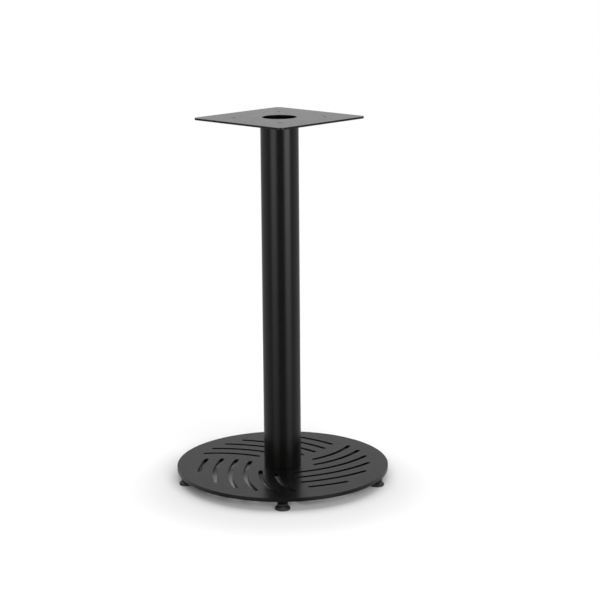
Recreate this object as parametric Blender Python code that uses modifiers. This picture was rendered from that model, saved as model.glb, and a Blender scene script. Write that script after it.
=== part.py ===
"""Pedestal base for a round or square table: a slotted disc foot, a tube column and a top plate.

The base stands on the floor at Z = 0 with the column's axis on Z. The first levelling foot is at -Y.
Lengths are in metres, angles in radians unless a name says otherwise.
"""

import math

import bmesh
import bpy
from mathutils import Matrix, Vector

OBJECT_NAME = "pedestal_table_base"
CUTTERS_NAME = "cutters"

GAP = 0.0003  # clearance between pieces that touch
WELD = 0.000001
SHARP_ANGLE = math.radians(32)

# Disc foot
DISC_RADIUS = 0.2175
DISC_THICKNESS = 0.008
DISC_UNDERSIDE = 0.0195  # height above the floor
DISC_TOP = DISC_UNDERSIDE + DISC_THICKNESS
DISC_SEGMENTS = 72

# Three groups of concentric arc slots, each about a centre of its own
GROUP_COUNT = 3
GROUP_AZIMUTH = math.radians(101.1)
GROUP_CENTRE_RADIUS = 0.1891
SLOTS_PER_GROUP = 6
SLOTS_BESIDE_COLUMN = 2
FIRST_ARC_RADIUS = 0.1929
ARC_PITCH = 0.03117
SLOT_WIDTH = 0.0087
OUTER_END_RADIUS = 0.1766  # about the column: centres of the slots' outer ends
COLUMN_END_RADIUS = 0.0682  # about the column: inner ends of the slots beside it
NEIGHBOUR_END_RADIUS = 0.1539  # about the next group's centre: the other inner ends
SLOT_STEPS = 8
SLOT_END_STEPS = 4

# Column
COLUMN_RADIUS = 0.03805
COLUMN_WALL = 0.002
COLUMN_SEGMENTS = 48
END_PLATE_THICKNESS = 0.010
END_PLATE_RADIUS = COLUMN_RADIUS - COLUMN_WALL - GAP

# Top plate
PLATE_SIDE = 0.2435
PLATE_THICKNESS = 0.004
PLATE_TOP = 0.7445
PLATE_UNDERSIDE = PLATE_TOP - PLATE_THICKNESS
PLATE_CORNER_RADIUS = 0.012
PLATE_CORNER_STEPS = 5
PLATE_TURN = math.radians(45.7)  # a corner points forward
PLATE_BORE_RADIUS = 0.0343
SCREW_HOLE_SPACING = 0.127
SCREW_HOLE_RADIUS = 0.003

# M8 screws that hold the column down on the disc
COLUMN_BOLT_COUNT = 4
COLUMN_BOLT_CIRCLE_RADIUS = 0.022
COLUMN_BOLT_AZIMUTH = math.radians(45)
CLEARANCE_HOLE_RADIUS = 0.0045
THREAD_RADIUS = 0.004
TAPPED_HOLE_RADIUS = THREAD_RADIUS + GAP
BOLT_LENGTH = 0.020
BOLT_HEAD_HEIGHT = 0.0053
BOLT_HEAD_FLATS = 0.013
WASHER_RADIUS = 0.008
WASHER_BORE_RADIUS = 0.0044
WASHER_THICKNESS = 0.0016
SPRING_WASHER_RADIUS = 0.0074
SPRING_WASHER_THICKNESS = 0.002
SPRING_WASHER_SPLIT = math.radians(14)
SPRING_WASHER_SKEW = math.radians(10)
FASTENER_SEGMENTS = 16

# Levelling feet
FOOT_COUNT = 5
FOOT_AZIMUTH = math.radians(-90.3)
FOOT_SPACING = math.radians(71)  # leaves 76 degrees between the last foot and the first
FOOT_CIRCLE_RADIUS = 0.2023
FOOT_SEGMENTS = 24
BUSH_RADIUS = 0.0108
BUSH_BOTTOM = 0.0130
COLLAR_RADIUS = 0.0106
COLLAR_BOTTOM = 0.0083
COLLAR_TOP = BUSH_BOTTOM - GAP
STUD_TOP = 0.0232
STUD_CHAMFER = 0.0006
STUD_HEAD_RADIUS = 0.007
STUD_HEAD_BOTTOM = 0.0038
STUD_HEAD_TOP = 0.0056
RELIEF_RADIUS = 0.005
RELIEF_TOP = 0.0240
GLIDE_RADIUS = 0.0152
GLIDE_TOP_RADIUS = 0.0106
GLIDE_BOTTOM = 0.0024
GLIDE_RIM_TOP = 0.0040
GLIDE_TOP = COLLAR_BOTTOM - GAP
GLIDE_EDGE = 0.0004
NECK_BORE_RADIUS = THREAD_RADIUS + GAP
SOCKET_RADIUS = STUD_HEAD_RADIUS + GAP
SOCKET_BOTTOM = STUD_HEAD_BOTTOM - GAP
SOCKET_TOP = STUD_HEAD_TOP + GAP
PAD_RADIUS = 0.0149
PAD_TOP = GLIDE_BOTTOM - GAP


def clear_scene():
    for old in list(bpy.data.objects):
        bpy.data.objects.remove(old)


def new_collection(name):
    collection = bpy.data.collections.new(name)
    bpy.context.scene.collection.children.link(collection)
    return collection


def new_material(name, colour, roughness, metallic):
    material = bpy.data.materials.new(name)
    material.use_nodes = True
    shader = material.node_tree.nodes["Principled BSDF"]
    shader.inputs["Base Color"].default_value = (*colour, 1.0)
    shader.inputs["Roughness"].default_value = roughness
    shader.inputs["Metallic"].default_value = metallic
    material.diffuse_color = (*colour, 1.0)
    return material


def on_circle(centre, radius, angle):
    """The point at this angle on a circle in a level plane."""
    return Vector((centre.x + radius * math.cos(angle), centre.y + radius * math.sin(angle), 0.0))


def arc(centre, radius, start, end, steps):
    """Points along an arc, both ends included."""
    return [on_circle(centre, radius, start + (end - start) * i / steps) for i in range(steps + 1)]


def circle(centre, radius, steps):
    return arc(centre, radius, 0.0, 2 * math.pi, steps)[:-1]


def helper_object(name, data):
    """An object that is evaluated into a mesh and then removed."""
    helper = bpy.data.objects.new(name, data)
    bpy.context.scene.collection.objects.link(helper)
    return helper


def finished_mesh(name, helper):
    """The helper's evaluated shape as a welded mesh, smooth but for its real edges."""
    graph = bpy.context.evaluated_depsgraph_get()
    mesh = bpy.data.meshes.new_from_object(helper.evaluated_get(graph))
    mesh.name = name
    bpy.data.objects.remove(helper)
    shape = bmesh.new()
    shape.from_mesh(mesh)
    bmesh.ops.remove_doubles(shape, verts=shape.verts, dist=WELD)
    shape.to_mesh(mesh)
    shape.free()
    mesh.shade_smooth()
    mesh.set_sharp_from_angle(angle=SHARP_ANGLE)
    return mesh


def flat_mesh(name, outlines, bottom, thickness):
    """A flat sheet: the first outline is its edge, and the others are holes through it."""
    curve = bpy.data.curves.new(name, "CURVE")
    curve.dimensions = "2D"
    curve.fill_mode = "BOTH"
    curve.extrude = thickness / 2
    for outline in outlines:
        spline = curve.splines.new("POLY")
        spline.points.add(len(outline) - 1)
        spline.use_cyclic_u = True
        for point, place in zip(spline.points, outline):
            point.co = (place.x, place.y, 0.0, 1.0)
    mesh = finished_mesh(name, helper_object(name, curve))
    mesh.transform(Matrix.Translation((0.0, 0.0, bottom + thickness / 2)))
    return mesh


def turned_helper(name, profile, segments, ring):
    """A profile of (radius, height) pairs, down its outer side, turned about Z."""
    mesh = bpy.data.meshes.new(name)
    points = [(radius, 0.0, height) for radius, height in profile]
    edges = [(i, i + 1) for i in range(len(points) - 1)]
    if ring:
        edges.append((len(points) - 1, 0))
    mesh.from_pydata(points, edges, [])
    helper = helper_object(name, mesh)
    screw = helper.modifiers.new("turn", "SCREW")
    screw.axis = "Z"
    screw.angle = 2 * math.pi
    screw.steps = segments
    screw.render_steps = segments
    screw.use_merge_vertices = True
    screw.merge_threshold = WELD
    return helper


def turned_mesh(name, profile, segments, ring=False):
    return finished_mesh(name, turned_helper(name, profile, segments, ring))


def ring_mesh(name, inner, outer, bottom, top, segments):
    """A plain ring of rectangular section."""
    profile = [(outer, top), (outer, bottom), (inner, bottom), (inner, top)]
    return turned_mesh(name, profile, segments, ring=True)


def hexagon_helper(name, across_flats, bottom, top):
    mesh = bpy.data.meshes.new(name)
    shape = bmesh.new()
    corner_radius = across_flats / math.sqrt(3)
    bmesh.ops.create_cone(
        shape,
        cap_ends=True,
        segments=6,
        radius1=corner_radius,
        radius2=corner_radius,
        depth=top - bottom,
    )
    bmesh.ops.translate(shape, verts=shape.verts, vec=(0.0, 0.0, (top + bottom) / 2))
    shape.to_mesh(mesh)
    shape.free()
    return helper_object(name, mesh)


def joined_mesh(name, helper, addition):
    """One mesh from two helpers that run into each other."""
    union = helper.modifiers.new("join", "BOOLEAN")
    union.operation = "UNION"
    union.object = addition
    mesh = finished_mesh(name, helper)
    bpy.data.objects.remove(addition)
    return mesh


def place(name, mesh, material, parent=None, location=(0.0, 0.0, 0.0), turn=0.0):
    """A named piece of the base, in the object's collection."""
    piece = bpy.data.objects.new(name, mesh)
    bpy.data.collections[OBJECT_NAME].objects.link(piece)
    if not mesh.materials:
        mesh.materials.append(material)
    piece.parent = parent
    piece.location = location
    piece.rotation_euler.z = turn
    return piece


def place_empty(name, location):
    empty = bpy.data.objects.new(name, None)
    bpy.data.collections[OBJECT_NAME].objects.link(empty)
    empty.location = location
    empty.empty_display_size = GLIDE_RADIUS
    return empty


def crossing(arc_radius, centre_distance, other_radius):
    """At an arc's centre, the angle from another circle's centre to where the two cross."""
    sides = arc_radius**2 + centre_distance**2 - other_radius**2
    return math.acos(sides / (2 * arc_radius * centre_distance))


def slot_outline(group, index):
    """An arc slot with round ends, between the disc's rim and the column or the next group."""
    azimuth = GROUP_AZIMUTH + group * 2 * math.pi / GROUP_COUNT
    centre = on_circle(Vector(), GROUP_CENTRE_RADIUS, azimuth)
    radius = FIRST_ARC_RADIUS + index * ARC_PITCH
    to_column = azimuth + math.pi
    last = to_column + crossing(radius, GROUP_CENTRE_RADIUS, OUTER_END_RADIUS)
    if index < SLOTS_BESIDE_COLUMN:
        first = to_column + crossing(radius, GROUP_CENTRE_RADIUS, COLUMN_END_RADIUS)
    else:
        to_neighbour = to_column + math.pi / 2 - math.pi / GROUP_COUNT
        distance = 2 * GROUP_CENTRE_RADIUS * math.sin(math.pi / GROUP_COUNT)
        first = to_neighbour - crossing(radius, distance, NEIGHBOUR_END_RADIUS)
    half = SLOT_WIDTH / 2
    far_side = arc(centre, radius + half, first, last, SLOT_STEPS)
    last_end = arc(on_circle(centre, radius, last), half, last, last + math.pi, SLOT_END_STEPS)
    near_side = arc(centre, radius - half, last, first, SLOT_STEPS)
    opposite = first + math.pi
    first_end = arc(on_circle(centre, radius, first), half, opposite, opposite + math.pi, SLOT_END_STEPS)
    return far_side + last_end[1:-1] + near_side + first_end[1:-1]


def column_bolt_places():
    step = 2 * math.pi / COLUMN_BOLT_COUNT
    angles = [COLUMN_BOLT_AZIMUTH + i * step for i in range(COLUMN_BOLT_COUNT)]
    return [on_circle(Vector(), COLUMN_BOLT_CIRCLE_RADIUS, angle) for angle in angles]


def foot_places():
    angles = [FOOT_AZIMUTH + i * FOOT_SPACING for i in range(FOOT_COUNT)]
    return [on_circle(Vector(), FOOT_CIRCLE_RADIUS, angle) for angle in angles]


def relief_drills():
    """Cutter for the blind relief above each foot, which lets its stud screw right in."""
    shape = bmesh.new()
    depth = 2 * (RELIEF_TOP - DISC_UNDERSIDE)
    for spot in foot_places():
        drill = bmesh.ops.create_cone(
            shape,
            cap_ends=True,
            segments=FASTENER_SEGMENTS,
            radius1=RELIEF_RADIUS,
            radius2=RELIEF_RADIUS,
            depth=depth,
        )
        centre = spot + Vector((0.0, 0.0, RELIEF_TOP - depth / 2))
        bmesh.ops.translate(shape, verts=drill["verts"], vec=centre)
    mesh = bpy.data.meshes.new("relief_drills")
    shape.to_mesh(mesh)
    shape.free()
    cutter = bpy.data.objects.new("relief_drills", mesh)
    bpy.data.collections[CUTTERS_NAME].objects.link(cutter)
    cutter.hide_render = True
    cutter.display_type = "WIRE"
    return cutter


def build_disc(material):
    outlines = [circle(Vector(), DISC_RADIUS, DISC_SEGMENTS)]
    for group in range(GROUP_COUNT):
        outlines += [slot_outline(group, index) for index in range(SLOTS_PER_GROUP)]
    outlines += [circle(spot, CLEARANCE_HOLE_RADIUS, FASTENER_SEGMENTS) for spot in column_bolt_places()]
    mesh = flat_mesh("base_disc", outlines, DISC_UNDERSIDE, DISC_THICKNESS)
    disc = place("base_disc", mesh, material)
    cut = disc.modifiers.new("foot reliefs", "BOOLEAN")
    cut.operation = "DIFFERENCE"
    cut.object = relief_drills()


def build_column(material):
    bottom = DISC_TOP + GAP
    tube = ring_mesh(
        "column_tube",
        COLUMN_RADIUS - COLUMN_WALL,
        COLUMN_RADIUS,
        bottom,
        PLATE_UNDERSIDE - GAP,
        COLUMN_SEGMENTS,
    )
    place("column_tube", tube, material)
    outlines = [circle(Vector(), END_PLATE_RADIUS, COLUMN_SEGMENTS)]
    outlines += [circle(spot, TAPPED_HOLE_RADIUS, FASTENER_SEGMENTS) for spot in column_bolt_places()]
    end_plate = flat_mesh("column_end_plate", outlines, bottom, END_PLATE_THICKNESS)
    place("column_end_plate", end_plate, material)


def plate_outline():
    """A square with rounded corners."""
    reach = PLATE_SIDE / 2 - PLATE_CORNER_RADIUS
    outline = []
    for corner, (x, y) in enumerate(((1, 1), (-1, 1), (-1, -1), (1, -1))):
        start = corner * math.pi / 2
        centre = Vector((x * reach, y * reach, 0.0))
        outline += arc(centre, PLATE_CORNER_RADIUS, start, start + math.pi / 2, PLATE_CORNER_STEPS)
    return outline


def build_top_plate(material):
    half = SCREW_HOLE_SPACING / 2
    outlines = [plate_outline(), circle(Vector(), PLATE_BORE_RADIUS, COLUMN_SEGMENTS)]
    for x in (-half, half):
        for y in (-half, half):
            outlines.append(circle(Vector((x, y, 0.0)), SCREW_HOLE_RADIUS, FASTENER_SEGMENTS))
    mesh = flat_mesh("top_plate", outlines, PLATE_UNDERSIDE, PLATE_THICKNESS)
    place("top_plate", mesh, material, turn=PLATE_TURN)


def bolt_mesh():
    """A hexagon-head screw, its head's top at Z = 0 and its shank upwards."""
    head = hexagon_helper("bolt_head", BOLT_HEAD_FLATS, -BOLT_HEAD_HEIGHT, 0.0)
    into_head = -BOLT_HEAD_HEIGHT / 2
    shank = [
        (0.0, BOLT_LENGTH),
        (THREAD_RADIUS - STUD_CHAMFER, BOLT_LENGTH),
        (THREAD_RADIUS, BOLT_LENGTH - STUD_CHAMFER),
        (THREAD_RADIUS, into_head),
        (0.0, into_head),
    ]
    return joined_mesh("column_bolt", turned_helper("bolt_shank", shank, FASTENER_SEGMENTS, False), head)


def spring_washer_mesh():
    """A ring split once, on a slant."""
    half = SPRING_WASHER_SPLIT / 2
    outer = arc(
        Vector(),
        SPRING_WASHER_RADIUS,
        half + SPRING_WASHER_SKEW,
        2 * math.pi - half + SPRING_WASHER_SKEW,
        FASTENER_SEGMENTS,
    )
    inner = arc(Vector(), WASHER_BORE_RADIUS, 2 * math.pi - half, half, FASTENER_SEGMENTS)
    return flat_mesh("spring_washer", [outer + inner], 0.0, SPRING_WASHER_THICKNESS)


def build_column_fasteners(material):
    washer_bottom = DISC_UNDERSIDE - GAP - WASHER_THICKNESS
    spring_bottom = washer_bottom - GAP - SPRING_WASHER_THICKNESS
    head_top = spring_bottom - GAP
    washer = ring_mesh(
        "flat_washer", WASHER_BORE_RADIUS, WASHER_RADIUS, 0.0, WASHER_THICKNESS, FASTENER_SEGMENTS
    )
    spring_washer = spring_washer_mesh()
    bolt = bolt_mesh()
    for number, spot in enumerate(column_bolt_places(), start=1):
        rest = ((washer, "flat_washer", washer_bottom), (spring_washer, "spring_washer", spring_bottom))
        for mesh, name, height in (*rest, (bolt, "column_bolt", head_top)):
            place(f"{name}_{number}", mesh, material, location=(spot.x, spot.y, height))


def stud_mesh():
    """A threaded stud with a round collar, its flanged lower end held in the glide."""
    profile = [
        (0.0, STUD_TOP),
        (THREAD_RADIUS - STUD_CHAMFER, STUD_TOP),
        (THREAD_RADIUS, STUD_TOP - STUD_CHAMFER),
        (THREAD_RADIUS, COLLAR_TOP),
        (COLLAR_RADIUS, COLLAR_TOP),
        (COLLAR_RADIUS, COLLAR_BOTTOM),
        (THREAD_RADIUS, COLLAR_BOTTOM),
        (THREAD_RADIUS, STUD_HEAD_TOP),
        (STUD_HEAD_RADIUS, STUD_HEAD_TOP),
        (STUD_HEAD_RADIUS, STUD_HEAD_BOTTOM),
        (0.0, STUD_HEAD_BOTTOM),
    ]
    return turned_mesh("foot_stud", profile, FOOT_SEGMENTS)


def glide_mesh():
    """A cone-shaped glide with a socket that the stud's flanged end turns in."""
    profile = [
        (NECK_BORE_RADIUS, GLIDE_TOP),
        (GLIDE_TOP_RADIUS, GLIDE_TOP),
        (GLIDE_RADIUS - GLIDE_EDGE, GLIDE_RIM_TOP + GLIDE_EDGE),
        (GLIDE_RADIUS, GLIDE_RIM_TOP),
        (GLIDE_RADIUS, GLIDE_BOTTOM),
        (0.0, GLIDE_BOTTOM),
        (0.0, SOCKET_BOTTOM),
        (SOCKET_RADIUS, SOCKET_BOTTOM),
        (SOCKET_RADIUS, SOCKET_TOP),
        (NECK_BORE_RADIUS, SOCKET_TOP),
        (NECK_BORE_RADIUS, GLIDE_TOP),
    ]
    return turned_mesh("foot_glide", profile, FOOT_SEGMENTS)


def pad_mesh():
    """The soft disc under the glide."""
    profile = [(0.0, PAD_TOP), (PAD_RADIUS, PAD_TOP), (PAD_RADIUS, 0.0), (0.0, 0.0)]
    return turned_mesh("foot_pad", profile, FOOT_SEGMENTS)


def build_feet(bush_material, stud_material, glide_material, pad_material):
    bush = ring_mesh(
        "foot_bush", TAPPED_HOLE_RADIUS, BUSH_RADIUS, BUSH_BOTTOM, DISC_UNDERSIDE - GAP, FOOT_SEGMENTS
    )
    stud = stud_mesh()
    glide = glide_mesh()
    pad = pad_mesh()
    for number, spot in enumerate(foot_places(), start=1):
        axis = place_empty(f"foot_axis_{number}", spot)
        place(f"foot_bush_{number}", bush, bush_material, parent=axis)
        place(f"foot_stud_{number}", stud, stud_material, parent=axis)
        place(f"foot_glide_{number}", glide, glide_material, parent=axis)
        place(f"foot_pad_{number}", pad, pad_material, parent=axis)


def main():
    clear_scene()
    new_collection(OBJECT_NAME)
    new_collection(CUTTERS_NAME)
    black_coat = new_material("black_powder_coat", (0.020, 0.021, 0.020), 0.42, 0.0)
    black_zinc = new_material("black_zinc_steel", (0.035, 0.035, 0.037), 0.35, 0.9)
    bright_zinc = new_material("zinc_plated_steel", (0.55, 0.56, 0.57), 0.32, 1.0)
    black_nylon = new_material("black_nylon", (0.022, 0.021, 0.023), 0.38, 0.0)
    grey_rubber = new_material("dark_rubber", (0.035, 0.034, 0.035), 0.8, 0.0)
    build_disc(black_coat)
    build_column(black_coat)
    build_top_plate(black_coat)
    build_column_fasteners(bright_zinc)
    build_feet(black_coat, black_zinc, black_nylon, grey_rubber)


main()
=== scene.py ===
"""Looks of the pedestal table base: fine meshes, materials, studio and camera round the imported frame."""

import math

import bpy
from mathutils import Matrix, Vector
from mathutils.geometry import tessellate_polygon


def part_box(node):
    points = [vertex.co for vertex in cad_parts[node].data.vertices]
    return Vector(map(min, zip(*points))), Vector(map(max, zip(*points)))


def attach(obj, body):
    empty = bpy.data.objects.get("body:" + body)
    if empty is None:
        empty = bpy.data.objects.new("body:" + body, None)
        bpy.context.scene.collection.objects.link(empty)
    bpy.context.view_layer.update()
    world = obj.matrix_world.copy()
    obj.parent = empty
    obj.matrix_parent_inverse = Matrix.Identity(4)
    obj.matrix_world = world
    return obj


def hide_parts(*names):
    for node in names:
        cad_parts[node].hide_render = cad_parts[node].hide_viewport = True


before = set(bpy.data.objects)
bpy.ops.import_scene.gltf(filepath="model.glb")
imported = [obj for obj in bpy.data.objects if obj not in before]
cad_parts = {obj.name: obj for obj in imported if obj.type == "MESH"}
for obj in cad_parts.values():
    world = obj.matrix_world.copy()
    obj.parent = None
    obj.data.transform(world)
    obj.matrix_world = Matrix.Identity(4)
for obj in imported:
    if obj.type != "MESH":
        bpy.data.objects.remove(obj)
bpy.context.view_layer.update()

FULL_TURN = 2 * math.pi
RIGHT_ANGLE = math.pi / 2


# ---------------------------------------------------------------------------
# Camera: a corner of the plate and one foot face it
# ---------------------------------------------------------------------------

CAMERA_DISTANCE = 3.3997
CAMERA_ABOVE_DISC = 1.13635
CAMERA_PITCH = math.radians(13.097)
CAMERA_YAW = math.radians(0.644)
CAMERA_ROLL = math.radians(-0.417)
CAMERA_LENS = 103.446  # mm
CAMERA_SENSOR = 36.0  # mm
CAMERA_REACH = 100.0


def build_camera(disc_top):
    data = bpy.data.cameras.new("camera")
    data.lens = CAMERA_LENS
    data.sensor_width = CAMERA_SENSOR
    data.clip_end = CAMERA_REACH
    camera = bpy.data.objects.new("camera", data)
    bpy.context.scene.collection.objects.link(camera)
    turn = Matrix.Rotation(-CAMERA_YAW, 4, "Z") @ Matrix.Rotation(RIGHT_ANGLE - CAMERA_PITCH, 4, "X")
    turn = turn @ Matrix.Rotation(CAMERA_ROLL, 4, "Z")
    place = Matrix.Translation((0.0, -CAMERA_DISTANCE, disc_top + CAMERA_ABOVE_DISC))
    camera.matrix_world = place @ turn
    bpy.context.scene.camera = camera


build_camera(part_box("base_disc")[1].z)


# ---------------------------------------------------------------------------
# Outlines, as lists of points in a level plane
# ---------------------------------------------------------------------------

def on_circle(centre, radius, angle):
    return Vector((centre.x + radius * math.cos(angle), centre.y + radius * math.sin(angle), 0.0))


def arc(centre, radius, start, end, steps):
    """Points along an arc, both ends included."""
    return [on_circle(centre, radius, start + (end - start) * i / steps) for i in range(steps + 1)]


def round_outline(centre, radius, steps):
    """A function of the inset that gives a circle."""
    return lambda inset: arc(centre, radius - inset, 0.0, FULL_TURN, steps)[:-1]


def rounded_square_outline(half_side, corner_radius, turn, steps):
    """A function of the inset that gives a square with round corners."""

    def outline(inset):
        reach = half_side - corner_radius
        points = []
        for corner, (x, y) in enumerate(((1, 1), (-1, 1), (-1, -1), (1, -1))):
            start = corner * RIGHT_ANGLE
            centre = Vector((x * reach, y * reach, 0.0))
            points += arc(centre, corner_radius - inset, start, start + RIGHT_ANGLE, steps)
        spin = Matrix.Rotation(turn, 3, "Z")
        return [spin @ point for point in points]

    return outline


# The disc's slots: three groups of concentric arcs, each group about a centre of its own
GROUP_COUNT = 3
GROUP_AZIMUTH = math.radians(101.1)
GROUP_CENTRE_RADIUS = 0.1891
SLOTS_PER_GROUP = 6
SLOTS_BESIDE_COLUMN = 2
FIRST_ARC_RADIUS = 0.1929
ARC_PITCH = 0.03117
SLOT_WIDTH = 0.0087
OUTER_END_RADIUS = 0.1766
COLUMN_END_RADIUS = 0.0682
NEIGHBOUR_END_RADIUS = 0.1539
SLOT_STEPS = 28
SLOT_END_STEPS = 12


def crossing(arc_radius, centre_distance, other_radius):
    """At an arc's centre, the angle from another circle's centre to where the two cross."""
    sides = arc_radius**2 + centre_distance**2 - other_radius**2
    return math.acos(sides / (2 * arc_radius * centre_distance))


def slot_outline(group, index):
    """A function of the inset that gives an arc slot with round ends."""
    azimuth = GROUP_AZIMUTH + group * FULL_TURN / GROUP_COUNT
    centre = on_circle(Vector(), GROUP_CENTRE_RADIUS, azimuth)
    radius = FIRST_ARC_RADIUS + index * ARC_PITCH
    to_column = azimuth + math.pi
    last = to_column + crossing(radius, GROUP_CENTRE_RADIUS, OUTER_END_RADIUS)
    if index < SLOTS_BESIDE_COLUMN:
        first = to_column + crossing(radius, GROUP_CENTRE_RADIUS, COLUMN_END_RADIUS)
    else:
        to_neighbour = to_column + RIGHT_ANGLE - math.pi / GROUP_COUNT
        distance = 2 * GROUP_CENTRE_RADIUS * math.sin(math.pi / GROUP_COUNT)
        first = to_neighbour - crossing(radius, distance, NEIGHBOUR_END_RADIUS)

    def outline(inset):
        half = SLOT_WIDTH / 2 - inset
        far_side = arc(centre, radius + half, first, last, SLOT_STEPS)
        last_end = arc(on_circle(centre, radius, last), half, last, last + math.pi, SLOT_END_STEPS)
        near_side = arc(centre, radius - half, last, first, SLOT_STEPS)
        opposite = first + math.pi
        first_end = arc(on_circle(centre, radius, first), half, opposite, opposite + math.pi, SLOT_END_STEPS)
        return far_side + last_end[1:-1] + near_side + first_end[1:-1]

    return outline


# ---------------------------------------------------------------------------
# Meshes
# ---------------------------------------------------------------------------

SHARP_ANGLE = math.radians(50)
FACE_WEIGHT = 100  # flat faces stay flat beside their rounded edges
ON_AXIS = 1e-7
LONGEST_ROUNDING = 0.45  # of the side beside a corner
EDGE_STEPS = 3


def new_piece(name, points, faces, slot, body, *nodes):
    """A piece of the object that stands for these CAD nodes and rides on a body."""
    mesh = bpy.data.meshes.new(name)
    mesh.from_pydata(points, [], faces)
    mesh.validate()
    mesh.shade_smooth()
    piece = bpy.data.objects.new(name, mesh)
    bpy.context.scene.collection.objects.link(piece)
    weighted = piece.modifiers.new("flat faces", "WEIGHTED_NORMAL")
    weighted.weight = FACE_WEIGHT
    weighted.keep_sharp = True
    mesh.set_sharp_from_angle(angle=SHARP_ANGLE)
    mesh.materials.append(MATERIALS[slot])
    if nodes:
        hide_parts(*nodes)
    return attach(piece, body)


def edge_levels(bottom, top, edge, steps):
    """(inset, height) pairs up a wall whose two edges are rounded."""
    quarter = [i / steps * RIGHT_ANGLE for i in range(steps + 1)]
    lower = [(edge * (1 - math.sin(a)), bottom + edge * (1 - math.cos(a))) for a in quarter]
    return lower + [(inset, bottom + top - height) for inset, height in reversed(lower)]


def sheet_geometry(outer, holes, bottom, top, edge, edge_steps=EDGE_STEPS):
    """A flat sheet with rounded edges: outer and holes are functions of the inset."""
    levels = edge_levels(bottom, top, edge, edge_steps)
    points = []
    faces = []
    rims = []
    for outline, side in [(outer, 1)] + [(hole, -1) for hole in holes]:
        start = len(points)
        for inset, height in levels:
            loop = outline(side * inset)
            points += [Vector((p.x, p.y, height)) for p in loop]
        count = len(loop)
        rims.append((start, count))
        for level in range(len(levels) - 1):
            low = start + level * count
            for i in range(count):
                following = (i + 1) % count
                face = (low + i, low + following, low + count + following, low + count + i)
                faces.append(face if side > 0 else face[::-1])
    for level, upwards in ((0, False), (len(levels) - 1, True)):
        indices = [[start + level * count + i for i in range(count)] for start, count in rims]
        loops = [[points[i] for i in ring] for ring in indices]
        flat = [i for ring in indices for i in ring]
        for triangle in tessellate_polygon(loops):
            face = [flat[i] for i in triangle]
            a, b, c = (points[i] for i in face)
            if ((b - a).cross(c - a).z > 0) != upwards:
                face.reverse()
            faces.append(tuple(face))
    return points, faces


def turned_geometry(profile, steps, axis=Vector(), ring=False):
    """A profile of (radius, height) pairs, down its outer side, turned about a vertical axis."""
    points = []
    rows = []
    for radius, height in profile:
        if radius < ON_AXIS:
            rows.append([len(points)] * steps)
            points.append(axis + Vector((0.0, 0.0, height)))
            continue
        rows.append(list(range(len(points), len(points) + steps)))
        for i in range(steps):
            points.append(on_circle(axis, radius, i * FULL_TURN / steps) + Vector((0.0, 0.0, height)))
    if ring:
        rows.append(rows[0])
    faces = []
    for upper, lower in zip(rows, rows[1:]):
        for i in range(steps):
            following = (i + 1) % steps
            corners = (upper[i], lower[i], lower[following], upper[following])
            face = tuple(dict.fromkeys(corners))
            if len(face) > 2:
                faces.append(face)
    return points, faces


def polar_geometry(rows, steps, axis=Vector()):
    """A closed body from rows, top to bottom, each a function of the angle that gives (radius, height)."""
    points = []
    for row in rows:
        for i in range(steps):
            angle = i * FULL_TURN / steps
            radius, height = row(angle)
            points.append(on_circle(axis, radius, angle) + Vector((0.0, 0.0, height)))
    faces = []
    for level in range(len(rows) - 1):
        upper = level * steps
        lower = upper + steps
        for i in range(steps):
            following = (i + 1) % steps
            faces.append((upper + i, lower + i, lower + following, upper + following))
    faces.append(tuple(range(steps)))
    faces.append(tuple(reversed(range((len(rows) - 1) * steps, len(rows) * steps))))
    return points, faces


def rounded_profile(corners, edge, steps=EDGE_STEPS):
    """A profile of (radius, height, round it or not) corners, its marked corners rounded off."""
    profile = []
    for i, (radius, height, soft) in enumerate(corners):
        here = Vector((radius, height))
        if not soft:
            profile.append((radius, height))
            continue
        before = Vector(corners[i - 1][:2]) - here
        after = Vector(corners[(i + 1) % len(corners)][:2]) - here
        reach = min(edge, before.length * LONGEST_ROUNDING, after.length * LONGEST_ROUNDING)
        start = here + before.normalized() * reach
        end = here + after.normalized() * reach
        for k in range(steps + 1):
            t = k / steps
            point = start * (1 - t) ** 2 + here * 2 * t * (1 - t) + end * t**2
            profile.append((point.x, point.y))
    return profile


# ---------------------------------------------------------------------------
# Materials
# ---------------------------------------------------------------------------

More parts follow.
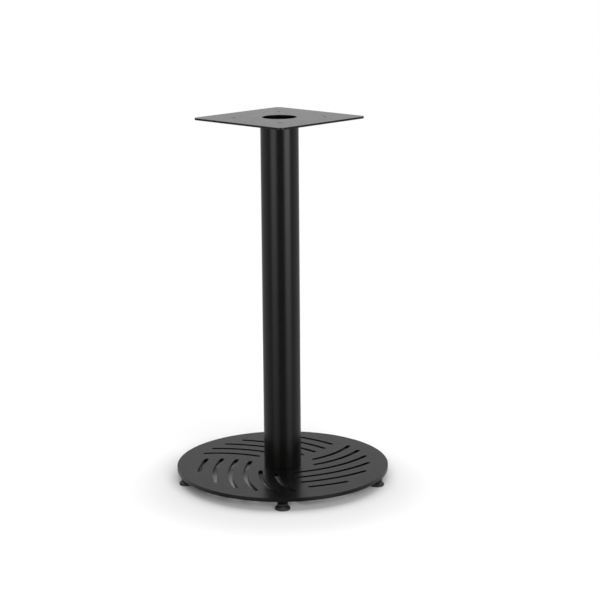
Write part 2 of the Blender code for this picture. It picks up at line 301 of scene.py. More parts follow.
class Nodes:
    """A short way to write a material's node tree."""

    def __init__(self, name):
        self.material = bpy.data.materials.new(name)
        self.material.use_nodes = True
        self.tree = self.material.node_tree
        self.shader = self.tree.nodes["Principled BSDF"]
        self.place = self.new("ShaderNodeTexCoord").outputs["Object"]

    def new(self, kind, **settings):
        node = self.tree.nodes.new(kind)
        for key, value in settings.items():
            setattr(node, key, value)
        return node

    def link(self, source, target):
        self.tree.links.new(source, target)

    def stretched(self, scale):
        """The object's coordinates, scaled unevenly."""
        mapping = self.new("ShaderNodeMapping")
        mapping.inputs["Scale"].default_value = scale
        self.link(self.place, mapping.inputs["Vector"])
        return mapping.outputs["Vector"]

    def noise(self, scale, detail=2.0, place=None):
        node = self.new("ShaderNodeTexNoise")
        node.inputs["Scale"].default_value = scale
        node.inputs["Detail"].default_value = detail
        self.link(place or self.place, node.inputs["Vector"])
        return node.outputs["Fac"]

    def cells(self, scale, smoothness=0.5):
        node = self.new("ShaderNodeTexVoronoi", feature="SMOOTH_F1")
        node.inputs["Scale"].default_value = scale
        node.inputs["Smoothness"].default_value = smoothness
        self.link(self.place, node.inputs["Vector"])
        return node.outputs["Distance"]

    def spread(self, value, low, high, start=0.3, end=0.7):
        """A value's range from start to end, mapped to low to high."""
        node = self.new("ShaderNodeMapRange")
        node.inputs["From Min"].default_value = start
        node.inputs["From Max"].default_value = end
        node.inputs["To Min"].default_value = low
        node.inputs["To Max"].default_value = high
        self.link(value, node.inputs["Value"])
        return node.outputs["Result"]

    def colours(self, value, low, high, start=0.3, end=0.7):
        """A value's range from start to end, mapped from one colour to another."""
        node = self.new("ShaderNodeValToRGB")
        for element, place, colour in zip(node.color_ramp.elements, (start, end), (low, high)):
            element.position = place
            element.color = (*colour, 1.0)
        self.link(value, node.inputs["Fac"])
        return node.outputs["Color"]

    def bump(self, height, distance, under=None):
        node = self.new("ShaderNodeBump")
        node.inputs["Strength"].default_value = 1.0
        node.inputs["Distance"].default_value = distance
        self.link(height, node.inputs["Height"])
        if under:
            self.link(under, node.inputs["Normal"])
        return node.outputs["Normal"]

    def finish(self, colour, roughness, normal, **sockets):
        self.link(colour, self.shader.inputs["Base Color"])
        self.link(roughness, self.shader.inputs["Roughness"])
        self.link(normal, self.shader.inputs["Normal"])
        for name, value in sockets.items():
            self.shader.inputs[name.replace("_", " ")].default_value = value
        return self.material


COAT_COLOURS = ((0.0012, 0.0013, 0.0012), (0.0020, 0.0021, 0.0020))
COAT_ROUGHNESS = (0.213, 0.237)
COAT_PEEL_HEIGHT = 0.00004
COAT_GRAIN_HEIGHT = 0.000012
COAT_GLOSS = 0.5
SLOT_PAINTED_SHADE_GLOSS = 0.08  # painted shade: the coat reflects less on the slot walls and wherever else it lies below the disc's top face and inside its rim, so these look darker
SLOT_HEIGHTS = (0.0270, 0.0274)
SLOT_REACH = (0.2160, 0.2170)


def in_slots(n):
    """1 below the disc's top face and inside its rim, and 0 elsewhere."""
    split = n.new("ShaderNodeSeparateXYZ")
    n.link(n.place, split.inputs["Vector"])
    level = n.new("ShaderNodeCombineXYZ")
    n.link(split.outputs["X"], level.inputs["X"])
    n.link(split.outputs["Y"], level.inputs["Y"])
    away = n.new("ShaderNodeVectorMath", operation="LENGTH")
    n.link(level.outputs["Vector"], away.inputs[0])
    both = n.new("ShaderNodeMath", operation="MULTIPLY")
    n.link(n.spread(split.outputs["Z"], 1.0, 0.0, *SLOT_HEIGHTS), both.inputs[0])
    n.link(n.spread(away.outputs["Value"], 1.0, 0.0, *SLOT_REACH), both.inputs[1])
    return both.outputs["Value"]


def powder_coat():
    """Satin black powder coat: an even orange peel with a fine sparkle of grain over it."""
    n = Nodes("black_powder_coat")
    cloud = n.noise(scale=22.0, detail=3.0)
    peel = n.noise(scale=900.0, detail=2.0)
    grain = n.cells(scale=2600.0)
    colour = n.colours(cloud, *COAT_COLOURS)
    roughness = n.spread(n.noise(scale=60.0, detail=4.0), *COAT_ROUGHNESS)
    normal = n.bump(grain, COAT_GRAIN_HEIGHT, under=n.bump(peel, COAT_PEEL_HEIGHT))
    # painted shade: less gloss on the slot walls and under the disc's top face
    gloss = n.spread(in_slots(n), COAT_GLOSS, SLOT_PAINTED_SHADE_GLOSS, 0.0, 1.0)
    n.link(gloss, n.shader.inputs["Specular IOR Level"])
    return n.finish(colour, roughness, normal)


BLACK_ZINC_COLOURS = ((0.022, 0.022, 0.025), (0.045, 0.044, 0.046))
BLACK_ZINC_STREAKS = (1.0, 1.0, 0.2)  # drawn out along Z
BLACK_ZINC_ROUGHNESS = (0.28, 0.42)
BLACK_ZINC_GRAIN_HEIGHT = 0.00002
BLACK_ZINC_METALLIC = 0.85


def black_zinc():
    """Black-plated steel, faintly streaked."""
    n = Nodes("black_zinc_steel")
    streaks = n.noise(scale=240.0, detail=3.0, place=n.stretched(BLACK_ZINC_STREAKS))
    colour = n.colours(streaks, *BLACK_ZINC_COLOURS)
    roughness = n.spread(n.noise(scale=420.0, detail=3.0), *BLACK_ZINC_ROUGHNESS)
    normal = n.bump(n.noise(scale=1800.0), BLACK_ZINC_GRAIN_HEIGHT)
    return n.finish(colour, roughness, normal, Metallic=BLACK_ZINC_METALLIC)


ZINC_COLOURS = ((0.50, 0.52, 0.55), (0.64, 0.65, 0.66))
ZINC_SPANGLE = (0.1, 0.6)  # the part of the cells' range that the colours span
ZINC_ROUGHNESS = (0.24, 0.42)
ZINC_GRAIN_HEIGHT = 0.00003


def bright_zinc():
    """Zinc plate, mottled grey with a slight blue cast."""
    n = Nodes("zinc_plated_steel")
    spangle = n.cells(scale=420.0, smoothness=0.2)
    colour = n.colours(spangle, *ZINC_COLOURS, *ZINC_SPANGLE)
    roughness = n.spread(n.noise(scale=380.0, detail=4.0), *ZINC_ROUGHNESS)
    normal = n.bump(n.noise(scale=1500.0, detail=3.0), ZINC_GRAIN_HEIGHT)
    return n.finish(colour, roughness, normal, Metallic=1.0)


NYLON_COLOURS = ((0.008, 0.0075, 0.0085), (0.013, 0.012, 0.0135))
NYLON_ROUGHNESS = (0.32, 0.44)
NYLON_GRAIN_HEIGHT = 0.00003


def nylon():
    """Moulded black nylon with a faint spark-eroded texture."""
    n = Nodes("black_nylon")
    colour = n.colours(n.noise(scale=70.0, detail=3.0), *NYLON_COLOURS)
    roughness = n.spread(n.noise(scale=300.0, detail=3.0), *NYLON_ROUGHNESS)
    normal = n.bump(n.noise(scale=2400.0, detail=2.0), NYLON_GRAIN_HEIGHT)
    return n.finish(colour, roughness, normal)


RUBBER_COLOURS = ((0.016, 0.015, 0.016), (0.036, 0.034, 0.033))
RUBBER_ROUGHNESS = (0.72, 0.9)
RUBBER_GRAIN_HEIGHT = 0.00006
RUBBER_GLOSS = 0.3


def rubber():
    """Matt dark rubber, dusty in patches."""
    n = Nodes("dark_rubber")
    colour = n.colours(n.noise(scale=160.0, detail=4.0), *RUBBER_COLOURS)
    roughness = n.spread(n.noise(scale=260.0, detail=3.0), *RUBBER_ROUGHNESS)
    normal = n.bump(n.noise(scale=1600.0, detail=3.0), RUBBER_GRAIN_HEIGHT)
    return n.finish(colour, roughness, normal, Specular_IOR_Level=RUBBER_GLOSS)


MATERIALS = {
    "black_powder_coat": powder_coat(),
    "black_zinc_steel": black_zinc(),
    "zinc_plated_steel": bright_zinc(),
    "black_nylon": nylon(),
    "dark_rubber": rubber(),
}


# ---------------------------------------------------------------------------
# Disc foot, column and top plate
# ---------------------------------------------------------------------------

EDGE = 0.0003  # rounding of cut and coated steel edges
COARSE_STEPS = 48
FINE_STEPS = 160


def centre_of(node):
    low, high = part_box(node)
    return Vector(((low.x + high.x) / 2, (low.y + high.y) / 2, 0.0))


def radius_of(node):
    low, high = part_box(node)
    return (high.y - low.y) / 2


BOLTS = [f"column_bolt_{i}" for i in range(1, 5)]
CLEARANCE_HOLE_RADIUS = 0.0045


def build_disc():
    low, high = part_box("base_disc")
    holes = []
    for group in range(GROUP_COUNT):
        holes += [slot_outline(group, index) for index in range(SLOTS_PER_GROUP)]
    holes += [round_outline(centre_of(bolt), CLEARANCE_HOLE_RADIUS, COARSE_STEPS) for bolt in BOLTS]
    outer = round_outline(Vector(), radius_of("base_disc"), FINE_STEPS * 2)
    points, faces = sheet_geometry(outer, holes, low.z, high.z, EDGE)
    new_piece("slotted_disc", points, faces, "black_powder_coat", "frame", "base_disc")


COLUMN_WALL = 0.002
BEAD_REACH = 0.0032  # weld under the plate
BEAD_BULGE = 0.0005
BEAD_RIPPLE = 0.00012
BEAD_RIPPLES = 96
STEPS_PER_RIPPLE = 4
BEAD_FACE_STEPS = 6


def build_column():
    low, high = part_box("column_tube")
    radius = radius_of("column_tube")
    bore = radius - COLUMN_WALL
    corners = [(radius, high.z, True), (radius, low.z, True), (bore, low.z, True), (bore, high.z, True)]
    points, faces = turned_geometry(rounded_profile(corners, EDGE), FINE_STEPS, ring=True)
    new_piece("round_column", points, faces, "black_powder_coat", "frame", "column_tube")


def build_top_weld():
    """The fillet weld between the tube and the plate, rippled along its run and coated over."""
    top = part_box("top_plate")[0].z
    radius = radius_of("column_tube")
    steps = BEAD_RIPPLES * STEPS_PER_RIPPLE
    points = []
    for i in range(steps):
        angle = i * FULL_TURN / steps
        swell = BEAD_RIPPLE * math.cos(angle * BEAD_RIPPLES)
        for k in range(BEAD_FACE_STEPS + 1):
            t = k / BEAD_FACE_STEPS
            bulge = (BEAD_BULGE + swell) * math.sin(math.pi * t)
            out = BEAD_REACH * (1 - t) + bulge
            down = BEAD_REACH * t + bulge
            points.append(on_circle(Vector(), radius + out, angle) + Vector((0.0, 0.0, top - down)))
        points.append(on_circle(Vector(), radius - COLUMN_WALL / 2, angle) + Vector((0.0, 0.0, top)))
    faces = []
    section = BEAD_FACE_STEPS + 2
    for i in range(steps):
        here = i * section
        following = (i + 1) % steps * section
        for k in range(section):
            after = (k + 1) % section
            faces.append((here + k, here + after, following + after, following + k))
    new_piece("top_weld", points, faces, "black_powder_coat", "frame")


TAPPED_HOLE_RADIUS = 0.0043


def build_end_plate():
    low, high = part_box("column_end_plate")
    holes = [round_outline(centre_of(bolt), TAPPED_HOLE_RADIUS, COARSE_STEPS) for bolt in BOLTS]
    outer = round_outline(Vector(), radius_of("column_end_plate"), FINE_STEPS)
    points, faces = sheet_geometry(outer, holes, low.z, high.z, EDGE)
    new_piece("end_plate", points, faces, "black_powder_coat", "frame", "column_end_plate")


PLATE_SIDE = 0.2435
PLATE_CORNER_RADIUS = 0.012
PLATE_CORNER_STEPS = 16
PLATE_TURN = math.radians(45.7)
PLATE_BORE_RADIUS = 0.0343
SCREW_HOLE_SPACING = 0.127
SCREW_HOLE_RADIUS = 0.003


def build_top_plate():
    low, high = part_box("top_plate")
    spin = Matrix.Rotation(PLATE_TURN, 3, "Z")
    half = SCREW_HOLE_SPACING / 2
    holes = [round_outline(Vector(), PLATE_BORE_RADIUS, FINE_STEPS)]
    for x in (-half, half):
        for y in (-half, half):
            holes.append(round_outline(spin @ Vector((x, y, 0.0)), SCREW_HOLE_RADIUS, COARSE_STEPS))
    outer = rounded_square_outline(PLATE_SIDE / 2, PLATE_CORNER_RADIUS, PLATE_TURN, PLATE_CORNER_STEPS)
    points, faces = sheet_geometry(outer, holes, low.z, high.z, EDGE)
    new_piece("square_plate", points, faces, "black_powder_coat", "frame", "top_plate")


# ---------------------------------------------------------------------------
# Fasteners under the disc
# ---------------------------------------------------------------------------

THREAD_RADIUS = 0.004
THREAD_PITCH = 0.00125
THREAD_DEPTH = 0.00065
THREAD_ROWS_PER_TURN = 8
THREAD_FLANK = 1.35  # steepness of the flanks
THREAD_CREST = 0.15  # how far the crests are flattened
THREAD_RUN_OUT = 0.9
THREAD_START = 0.0003  # plain ends above and below the thread
STEP_DOWN = 0.0002
HEAD_CHAMFER = math.radians(30)
HEAD_CROWN = 0.95  # the end faces' radius, of half the width across flats
CHAMFER_STEPS = 4
BOLT_HEAD_HEIGHT = 0.0053
BOLT_HEAD_FLATS = 0.013


def thread_rows(top, bottom):
    """Rows of an M8 thread between two heights, run out to its core at both ends."""

    def row(height):
        def at(angle):
            phase = (height / THREAD_PITCH - angle / FULL_TURN) % 1.0
            crest = abs(2 * phase - 1)
            cut = THREAD_DEPTH * min(1.0, max(0.0, THREAD_FLANK * crest - THREAD_CREST))
            run_out = min(1.0, (top - height) / THREAD_PITCH)
            fade = (1 - run_out) * (THREAD_DEPTH - cut) * THREAD_RUN_OUT
            return THREAD_RADIUS - cut - fade, height

        return at

    count = max(2, round((top - bottom) / THREAD_PITCH * THREAD_ROWS_PER_TURN))
    return [row(top - (top - bottom) * i / count) for i in range(count + 1)]


def plain_row(radius, height):
    return lambda angle: (radius, height)


def hexagon_row(across_flats, height, crown=None):
    """A hexagon's outline, its corners taken off by a cone whose edge has this radius."""

    def at(angle):
        sector = math.radians(60)
        from_flat = (angle + sector / 2) % sector - sector / 2
        reach = across_flats / 2 / math.cos(from_flat)
        return (reach if crown is None else min(reach, crown)), height

    return at


def hexagon_rows(across_flats, top, bottom):
    """A hexagon prism whose two ends are chamfered."""
    corner = across_flats / math.sqrt(3)
    crown = across_flats / 2 * HEAD_CROWN
    upper = []
    lower = []
    for k in range(CHAMFER_STEPS + 1):
        out = (corner - crown) * k / CHAMFER_STEPS
        drop = out * math.tan(HEAD_CHAMFER)
        upper.append(hexagon_row(across_flats, top - drop, crown + out))
        lower.append(hexagon_row(across_flats, bottom + drop, crown + out))
    return upper + lower[::-1]


def build_bolt(node):
    """A hexagon-head screw, shank upwards."""
    low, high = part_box(node)
    head_top = low.z + BOLT_HEAD_HEIGHT
    core = THREAD_RADIUS - THREAD_DEPTH
    rows = [plain_row(core, high.z)]
    rows += thread_rows(high.z - THREAD_START, head_top + THREAD_START)
    rows += [plain_row(core, head_top + STEP_DOWN)]
    rows += hexagon_rows(BOLT_HEAD_FLATS, head_top, low.z)
    points, faces = polar_geometry(rows, COARSE_STEPS, centre_of(node))
    new_piece(node.replace("column_bolt", "hex_screw"), points, faces, "zinc_plated_steel", "frame", node)


WASHER_BORE_RADIUS = 0.0044
WASHER_EDGE = 0.0003
SPRING_WASHER_RADIUS = 0.0074
SPRING_WASHER_EDGE = 0.0002
SPRING_WASHER_SPLIT = math.radians(14)
SPRING_WASHER_SKEW = math.radians(10)


def build_washer(node):
    low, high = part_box(node)
    outer = radius_of(node)
    corners = [
        (outer, high.z, True),
        (outer, low.z, True),
        (WASHER_BORE_RADIUS, low.z, True),
        (WASHER_BORE_RADIUS, high.z, True),
    ]
    profile = rounded_profile(corners, WASHER_EDGE)
    points, faces = turned_geometry(profile, COARSE_STEPS, centre_of(node), ring=True)
    new_piece(f"{node}_disc", points, faces, "zinc_plated_steel", "frame", node)


def build_spring_washer(node, bolt):
    """A split ring of square wire, its cut ends slanted."""
    low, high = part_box(node)
    axis = centre_of(bolt)
    inner = WASHER_BORE_RADIUS
    outer = SPRING_WASHER_RADIUS
    edge = SPRING_WASHER_EDGE
    section = [
        (outer, low.z + edge),
        (outer, high.z - edge),
        (outer - edge, high.z),
        (inner + edge, high.z),
        (inner, high.z - edge),
        (inner, low.z + edge),
        (inner + edge, low.z),
        (outer - edge, low.z),
    ]
    points = []
    for i in range(COARSE_STEPS + 1):
        for radius, height in section:
            start = SPRING_WASHER_SPLIT / 2 + SPRING_WASHER_SKEW * (radius - inner) / (outer - inner)
            angle = start + (FULL_TURN - SPRING_WASHER_SPLIT) * i / COARSE_STEPS
            points.append(on_circle(axis, radius, angle) + Vector((0.0, 0.0, height)))
    count = len(section)
    faces = []
    for i in range(COARSE_STEPS):
        for k in range(count):
            after = (k + 1) % count
            here = i * count
            faces.append((here + k, here + count + k, here + count + after, here + after))
    faces.append(tuple(range(count)))
    faces.append(tuple(reversed(range(COARSE_STEPS * count, (COARSE_STEPS + 1) * count))))
    new_piece(f"{node}_ring", points, faces, "zinc_plated_steel", "frame", node)


# ---------------------------------------------------------------------------
# Levelling feet
# ---------------------------------------------------------------------------

BUSH_WELD = 0.0014  # its reach out along the disc
BUSH_WELD_HOLLOW = (0.45, 0.4)  # of its reach, out and down to the middle of its face
BUSH_WELD_DEPTH = 1.1  # of its reach
NECK_BORE_RADIUS = 0.0043
COLLAR_RADIUS = 0.0106
COLLAR_TOP = 0.0127
COLLAR_BOTTOM = 0.0083
STUD_HEAD_RADIUS = 0.007
STUD_HEAD_TOP = 0.0056
GLIDE_TOP_RADIUS = 0.0106
GLIDE_RIM_TOP = 0.0040
SOCKET_RADIUS = 0.0073
SOCKET_BOTTOM = 0.0035
SOCKET_TOP = 0.0059
KNURLS = 36
KNURL_DEPTH = 0.00022
STUD_TIP = 0.0003
COLLAR_EDGE = 0.0004
FLANGE_EDGE = 0.0003
SHOULDER = 0.0001  # height of a step between two radii
BUSH_EDGE = 0.0006
GLIDE_EDGE = 0.0004
GLIDE_RIM_EDGE = (0.0006, 0.0005)  # inwards and upwards
GLIDE_RIM_DROP = 0.0003
GLIDE_SWELL = 0.0001
PAD_EDGE = 0.0006
FOOT_STEPS = COARSE_STEPS * 2
STUD_STEPS = COARSE_STEPS * 6
FOOT_COUNT = 5


def build_bush(number):
    """A threaded bush, its top run out into the weld that holds it."""
    node = f"foot_bush_{number}"
    low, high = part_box(node)
    radius = radius_of(node)
    corners = [
        (radius + BUSH_WELD, high.z, False),
        (radius + BUSH_WELD * BUSH_WELD_HOLLOW[0], high.z - BUSH_WELD * BUSH_WELD_HOLLOW[1], True),
        (radius, high.z - BUSH_WELD * BUSH_WELD_DEPTH, True),
        (radius, low.z, True),
        (NECK_BORE_RADIUS, low.z, True),
        (NECK_BORE_RADIUS, high.z, False),
    ]
    profile = rounded_profile(corners, BUSH_EDGE)
    points, faces = turned_geometry(profile, FOOT_STEPS, centre_of(node), ring=True)
    new_piece(f"threaded_bush_{number}", points, faces, "black_powder_coat", "frame", node)


def knurled_row(radius, height):
    """A round outline with shallow grooves for the fingers."""
    return lambda angle: (radius - KNURL_DEPTH * (0.5 + 0.5 * math.cos(KNURLS * angle)), height)


def build_stud(number):
    """A threaded stud with a knurled collar, its flanged lower end in the glide's socket."""
    node = f"foot_stud_{number}"
    low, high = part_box(node)
    core = THREAD_RADIUS - THREAD_DEPTH
    face = COLLAR_RADIUS - COLLAR_EDGE - KNURL_DEPTH
    rows = [plain_row(core - STUD_TIP, high.z)]
    rows += thread_rows(high.z - STUD_TIP, COLLAR_TOP + COLLAR_EDGE)
    rows += [
        plain_row(core, COLLAR_TOP + SHOULDER),
        plain_row(face, COLLAR_TOP),
        knurled_row(COLLAR_RADIUS, COLLAR_TOP - COLLAR_EDGE),
        knurled_row(COLLAR_RADIUS, COLLAR_BOTTOM + COLLAR_EDGE),
        plain_row(face, COLLAR_BOTTOM),
        plain_row(THREAD_RADIUS, COLLAR_BOTTOM - SHOULDER),
        plain_row(THREAD_RADIUS, STUD_HEAD_TOP + SHOULDER),
        plain_row(STUD_HEAD_RADIUS - FLANGE_EDGE, STUD_HEAD_TOP),
        plain_row(STUD_HEAD_RADIUS, STUD_HEAD_TOP - FLANGE_EDGE),
        plain_row(STUD_HEAD_RADIUS, low.z + FLANGE_EDGE),
        plain_row(STUD_HEAD_RADIUS - FLANGE_EDGE, low.z),
    ]
    points, faces = polar_geometry(rows, STUD_STEPS, centre_of(node))
    new_piece(f"levelling_stud_{number}", points, faces, "black_zinc_steel", f"stud_{number}", node)


def build_glide(number):
    """The cone-shaped glide, its rim rounded, with a socket for the stud's flanged end."""
    node = f"foot_glide_{number}"
    low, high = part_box(node)
    radius = radius_of(node)
    corners = [
        (NECK_BORE_RADIUS, high.z, True),
        (GLIDE_TOP_RADIUS, high.z, True),
        ((GLIDE_TOP_RADIUS + radius) / 2 + GLIDE_SWELL, (high.z + GLIDE_RIM_TOP) / 2, True),
        (radius - GLIDE_RIM_EDGE[0], GLIDE_RIM_TOP + GLIDE_RIM_EDGE[1], True),
        (radius, GLIDE_RIM_TOP - GLIDE_RIM_DROP, True),
        (radius, low.z, True),
        (0.0, low.z, False),
        (0.0, SOCKET_BOTTOM, False),
        (SOCKET_RADIUS, SOCKET_BOTTOM, True),
        (SOCKET_RADIUS, SOCKET_TOP, True),
        (NECK_BORE_RADIUS, SOCKET_TOP, True),
    ]
    profile = rounded_profile(corners, GLIDE_EDGE)
    points, faces = turned_geometry(profile + profile[:1], FOOT_STEPS, centre_of(node))
    new_piece(f"cone_glide_{number}", points, faces, "black_nylon", f"glide_{number}", node)


def build_pad(number):
    """The soft disc under the glide."""
    node = f"foot_pad_{number}"
    low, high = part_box(node)
    radius = radius_of(node)
    corners = [(0.0, high.z, False), (radius, high.z, True), (radius, low.z, True), (0.0, low.z, False)]
    profile = rounded_profile(corners, PAD_EDGE)
    points, faces = turned_geometry(profile, FOOT_STEPS, centre_of(node))
    new_piece(f"rubber_pad_{number}", points, faces, "dark_rubber", f"glide_{number}", node)


# ---------------------------------------------------------------------------
# Studio
# ---------------------------------------------------------------------------

# Painted shadow: the floor's colour darkens towards the base, standing in for the base's soft shadow
PAINTED_SHADE_CENTRE = (0.0, -0.075, 0.0)  # painted shadow on the floor round the base, centred a little towards the front
PAINTED_SHADE_REACH = (0.19, 0.38)
PAINTED_SHADE_DEPTH = 0.80
FLOOR_WHITE = (0.795, 0.80)
UNDER_DISC_PAINTED_GLOW = 0.016  # painted light: the floor glows faintly under the disc, standing in for light that finds its way in there
UNDER_REACH = (0.08, 0.19)
FAR_GLOW = 0.12  # keeps the floor's far edge as white as the backdrop
FAR_REACH = (0.45, 0.80)
FLOOR_ROUGHNESS = (0.75, 0.85)
FLOOR_GRAIN_HEIGHT = 0.00002


def floor_material():
    """White floor with a soft shadow painted into its colour towards the base and a faint painted glow under
    the disc.
    """
    n = Nodes("studio_floor")

    def by_distance(centre, reach, low, high):
        away = n.new("ShaderNodeVectorMath", operation="DISTANCE")
        n.link(n.place, away.inputs[0])
        away.inputs[1].default_value = centre
        ramp = n.new("ShaderNodeMapRange", interpolation_type="SMOOTHSTEP")
        for name, value in zip(("From Min", "From Max", "To Min", "To Max"), (*reach, low, high)):
            ramp.inputs[name].default_value = value
        n.link(away.outputs["Value"], ramp.inputs["Value"])
        return ramp.outputs["Result"]

    # painted shadow: the floor's white is darkened towards the base
    grey = n.new("ShaderNodeMath", operation="MULTIPLY")
    n.link(by_distance(PAINTED_SHADE_CENTRE, PAINTED_SHADE_REACH, PAINTED_SHADE_DEPTH, 1.0), grey.inputs[0])
    n.link(n.spread(n.noise(scale=3.0, detail=2.0), *FLOOR_WHITE), grey.inputs[1])
    # painted light glowing under the disc, plus the far edge kept as white as the backdrop
    glow = n.new("ShaderNodeMath", operation="ADD")
    n.link(by_distance((0.0, 0.0, 0.0), UNDER_REACH, UNDER_DISC_PAINTED_GLOW, 0.0), glow.inputs[0])
    n.link(by_distance((0.0, 0.0, 0.0), FAR_REACH, 0.0, FAR_GLOW), glow.inputs[1])
    n.link(glow.outputs["Value"], n.shader.inputs["Emission Strength"])
    roughness = n.spread(n.noise(scale=40.0, detail=2.0), *FLOOR_ROUGHNESS)
    normal = n.bump(n.noise(scale=300.0), FLOOR_GRAIN_HEIGHT)
    white = (1.0, 1.0, 1.0, 1.0)
    sockets = {"Specular_IOR_Level": 0.0, "Emission_Color": white}
    return n.finish(grey.outputs["Value"], roughness, normal, **sockets)


FLOOR_RADIUS = 1.15
FLOOR_DROP = 0.0002
UNDER_RADIUS = 0.225


def build_floor():
    """A round white floor that runs into the backdrop; only its middle shows up in reflections."""
    material = floor_material()
    middle, rim = (
        [Vector((p.x, p.y, -FLOOR_DROP)) for p in round_outline(Vector(), radius, FINE_STEPS)(0.0)]
        for radius in (UNDER_RADIUS, FLOOR_RADIUS)
    )
    ring_faces = []
    for i in range(FINE_STEPS):
        following = (i + 1) % FINE_STEPS
        ring_faces.append((i, FINE_STEPS + i, FINE_STEPS + following, following))
    parts = (
        ("studio_floor", middle, [tuple(range(FINE_STEPS))]),
        ("studio_floor_ring", middle + rim, ring_faces),
    )
    for name, points, faces in parts:
        mesh = bpy.data.meshes.new(name)
        mesh.from_pydata(points, [], faces)
        mesh.materials.append(material)
        floor = bpy.data.objects.new(name, mesh)
        bpy.context.scene.collection.objects.link(floor)
        floor.visible_glossy = name == "studio_floor"


FILL_PLACE = (0.9, -4.5, 1.7)
FILL_SIZE = (5.4, 2.6)
FILL_POWER = 350.0


def build_fill_light():
    """A wide soft light from the front that only shows in what it lights."""
    data = bpy.data.lights.new("front_fill", "AREA")
    data.shape = "RECTANGLE"
    data.size, data.size_y = FILL_SIZE
    data.energy = FILL_POWER
    light = bpy.data.objects.new("front_fill", data)
    bpy.context.scene.collection.objects.link(light)
    light.location = FILL_PLACE
    light.rotation_euler = (-Vector(FILL_PLACE)).to_track_quat("-Z", "Y").to_euler()
    light.visible_camera = False
    light.visible_glossy = False


WHITE = (1.0, 1.0, 1.0)
CEILING_GLOW = 1.74
CEILING_TILT = math.radians(17)  # towards the back
FRONT_GLOW = 0.14
SIDE_GLOW = 0.44
UPPER_GLOW = 0.6  # of the rest, higher up
HORIZON_GLOW = 0.36  # added low down at the back
# Where the ramps between them start and end: on a direction's Y or Z, or its lean towards the ceiling
CEILING_RAMP = (0.60, 0.90)
ROOM_RAMP = (-0.9, 0.3)
UPPER_RAMP = (0.10, 0.28)
HORIZON_RISE = (-0.12, 0.02)
HORIZON_FALL = (0.15, 0.30)
BEHIND_RAMP = (0.4, 0.8)
# Two soft strips of light, left and right of the front: azimuth, glow and colour
STRIPS = (
    (math.radians(-128), 2.2, (0.96, 1.0, 0.97)),
    (math.radians(-45), 3.5, (1.0, 0.96, 1.0)),
)
STRIP_HALF_WIDTH = math.radians(24)
STRIP_CORE = math.radians(3)
STRIP_RISE = (-0.30, 0.0)
STRIP_FALL = (0.02, 0.14)
STRIP_BELOW = 0.05
STRIP_ABOVE = 0.1


class Sky:
    """Lighting by direction, as sums and products of ramps."""

    def __init__(self, tree):
        self.tree = tree
        self.direction = self.new("ShaderNodeTexCoord").outputs["Generated"]
        split = self.new("ShaderNodeSeparateXYZ")
        tree.links.new(self.direction, split.inputs["Vector"])
        self.axes = split.outputs

    def new(self, kind, **settings):
        node = self.tree.nodes.new(kind)
        for key, value in settings.items():
            setattr(node, key, value)
        return node

    def ramp(self, value, start, end, low, high):
        node = self.new("ShaderNodeMapRange", interpolation_type="SMOOTHSTEP")
        for name, setting in (("From Min", start), ("From Max", end), ("To Min", low), ("To Max", high)):
            node.inputs[name].default_value = setting
        self.tree.links.new(value, node.inputs["Value"])
        return node.outputs["Result"]

    def product(self, first, second):
        node = self.new("ShaderNodeMath", operation="MULTIPLY")
        self.tree.links.new(first, node.inputs[0])
        self.tree.links.new(second, node.inputs[1])
        return node.outputs["Value"]

    def along(self, vector, axis):
        """The component of a vector along an axis."""
        node = self.new("ShaderNodeVectorMath", operation="DOT_PRODUCT")
        self.tree.links.new(vector, node.inputs[0])
        node.inputs[1].default_value = axis
        return node.outputs["Value"]

    def towards(self, azimuth):
        """The cosine between a direction's bearing and this azimuth."""
        level = self.new("ShaderNodeCombineXYZ")
        self.tree.links.new(self.axes["X"], level.inputs["X"])
        self.tree.links.new(self.axes["Y"], level.inputs["Y"])
        bearing = self.new("ShaderNodeVectorMath", operation="NORMALIZE")
        self.tree.links.new(level.outputs["Vector"], bearing.inputs[0])
        return self.along(bearing.outputs["Vector"], (math.cos(azimuth), math.sin(azimuth), 0.0))

    def coloured(self, value, colour):
        node = self.new("ShaderNodeVectorMath", operation="SCALE")
        node.inputs[0].default_value = colour
        self.tree.links.new(value, node.inputs["Scale"])
        return node.outputs["Vector"]

    def total(self, parts):
        running = parts[0]
        for part in parts[1:]:
            node = self.new("ShaderNodeVectorMath", operation="ADD")
            self.tree.links.new(running, node.inputs[0])
            self.tree.links.new(part, node.inputs[1])
            running = node.outputs["Vector"]
        return running


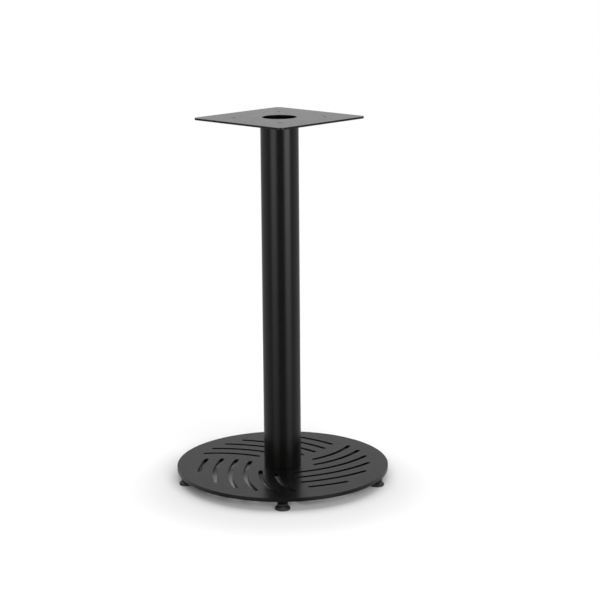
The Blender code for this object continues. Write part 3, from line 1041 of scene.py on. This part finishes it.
def build_world():
    """A studio with a bright ceiling, a darker front and two strip lights, white to look at."""
    world = bpy.data.worlds.new("studio")
    bpy.context.scene.world = world
    world.use_nodes = True
    tree = world.node_tree
    sky = Sky(tree)
    overhead = sky.along(sky.direction, (0.0, math.sin(CEILING_TILT), math.cos(CEILING_TILT)))
    ceiling = sky.ramp(overhead, *CEILING_RAMP, 0.0, CEILING_GLOW)
    room = sky.ramp(sky.axes["Y"], *ROOM_RAMP, FRONT_GLOW, SIDE_GLOW)
    upper = sky.ramp(sky.axes["Z"], *UPPER_RAMP, 1.0, UPPER_GLOW)
    rise = sky.ramp(sky.axes["Z"], *HORIZON_RISE, 0.0, HORIZON_GLOW)
    low_down = sky.product(rise, sky.ramp(sky.axes["Z"], *HORIZON_FALL, 1.0, 0.0))
    behind = sky.ramp(sky.axes["Y"], *BEHIND_RAMP, 0.0, 1.0)
    parts = [
        sky.coloured(ceiling, WHITE),
        sky.coloured(sky.product(room, upper), WHITE),
        sky.coloured(sky.product(low_down, behind), WHITE),
    ]
    fade = sky.product(
        sky.ramp(sky.axes["Z"], *STRIP_RISE, STRIP_BELOW, 1.0),
        sky.ramp(sky.axes["Z"], *STRIP_FALL, 1.0, STRIP_ABOVE),
    )
    for azimuth, glow, colour in STRIPS:
        edge = math.cos(STRIP_HALF_WIDTH)
        across = sky.ramp(sky.towards(azimuth), edge, math.cos(STRIP_CORE), 0.0, glow)
        parts.append(sky.coloured(sky.product(across, fade), colour))
    lit = tree.nodes["Background"]
    tree.links.new(sky.total(parts), lit.inputs["Color"])
    seen = sky.new("ShaderNodeBackground")
    seen.inputs["Color"].default_value = (*WHITE, 1.0)
    mix = sky.new("ShaderNodeMixShader")
    tree.links.new(sky.new("ShaderNodeLightPath").outputs["Is Camera Ray"], mix.inputs["Fac"])
    tree.links.new(lit.outputs["Background"], mix.inputs[1])
    tree.links.new(seen.outputs["Background"], mix.inputs[2])
    tree.links.new(mix.outputs["Shader"], tree.nodes["World Output"].inputs["Surface"])


build_disc()
build_column()
build_top_weld()
build_end_plate()
build_top_plate()
for bolt_number, bolt_node in enumerate(BOLTS, start=1):
    build_bolt(bolt_node)
    build_washer(f"flat_washer_{bolt_number}")
    build_spring_washer(f"spring_washer_{bolt_number}", bolt_node)
for foot in range(1, FOOT_COUNT + 1):
    build_bush(foot)
    build_stud(foot)
    build_glide(foot)
    build_pad(foot)
build_floor()
build_fill_light()
build_world()
bpy.context.scene.view_settings.view_transform = "Standard"
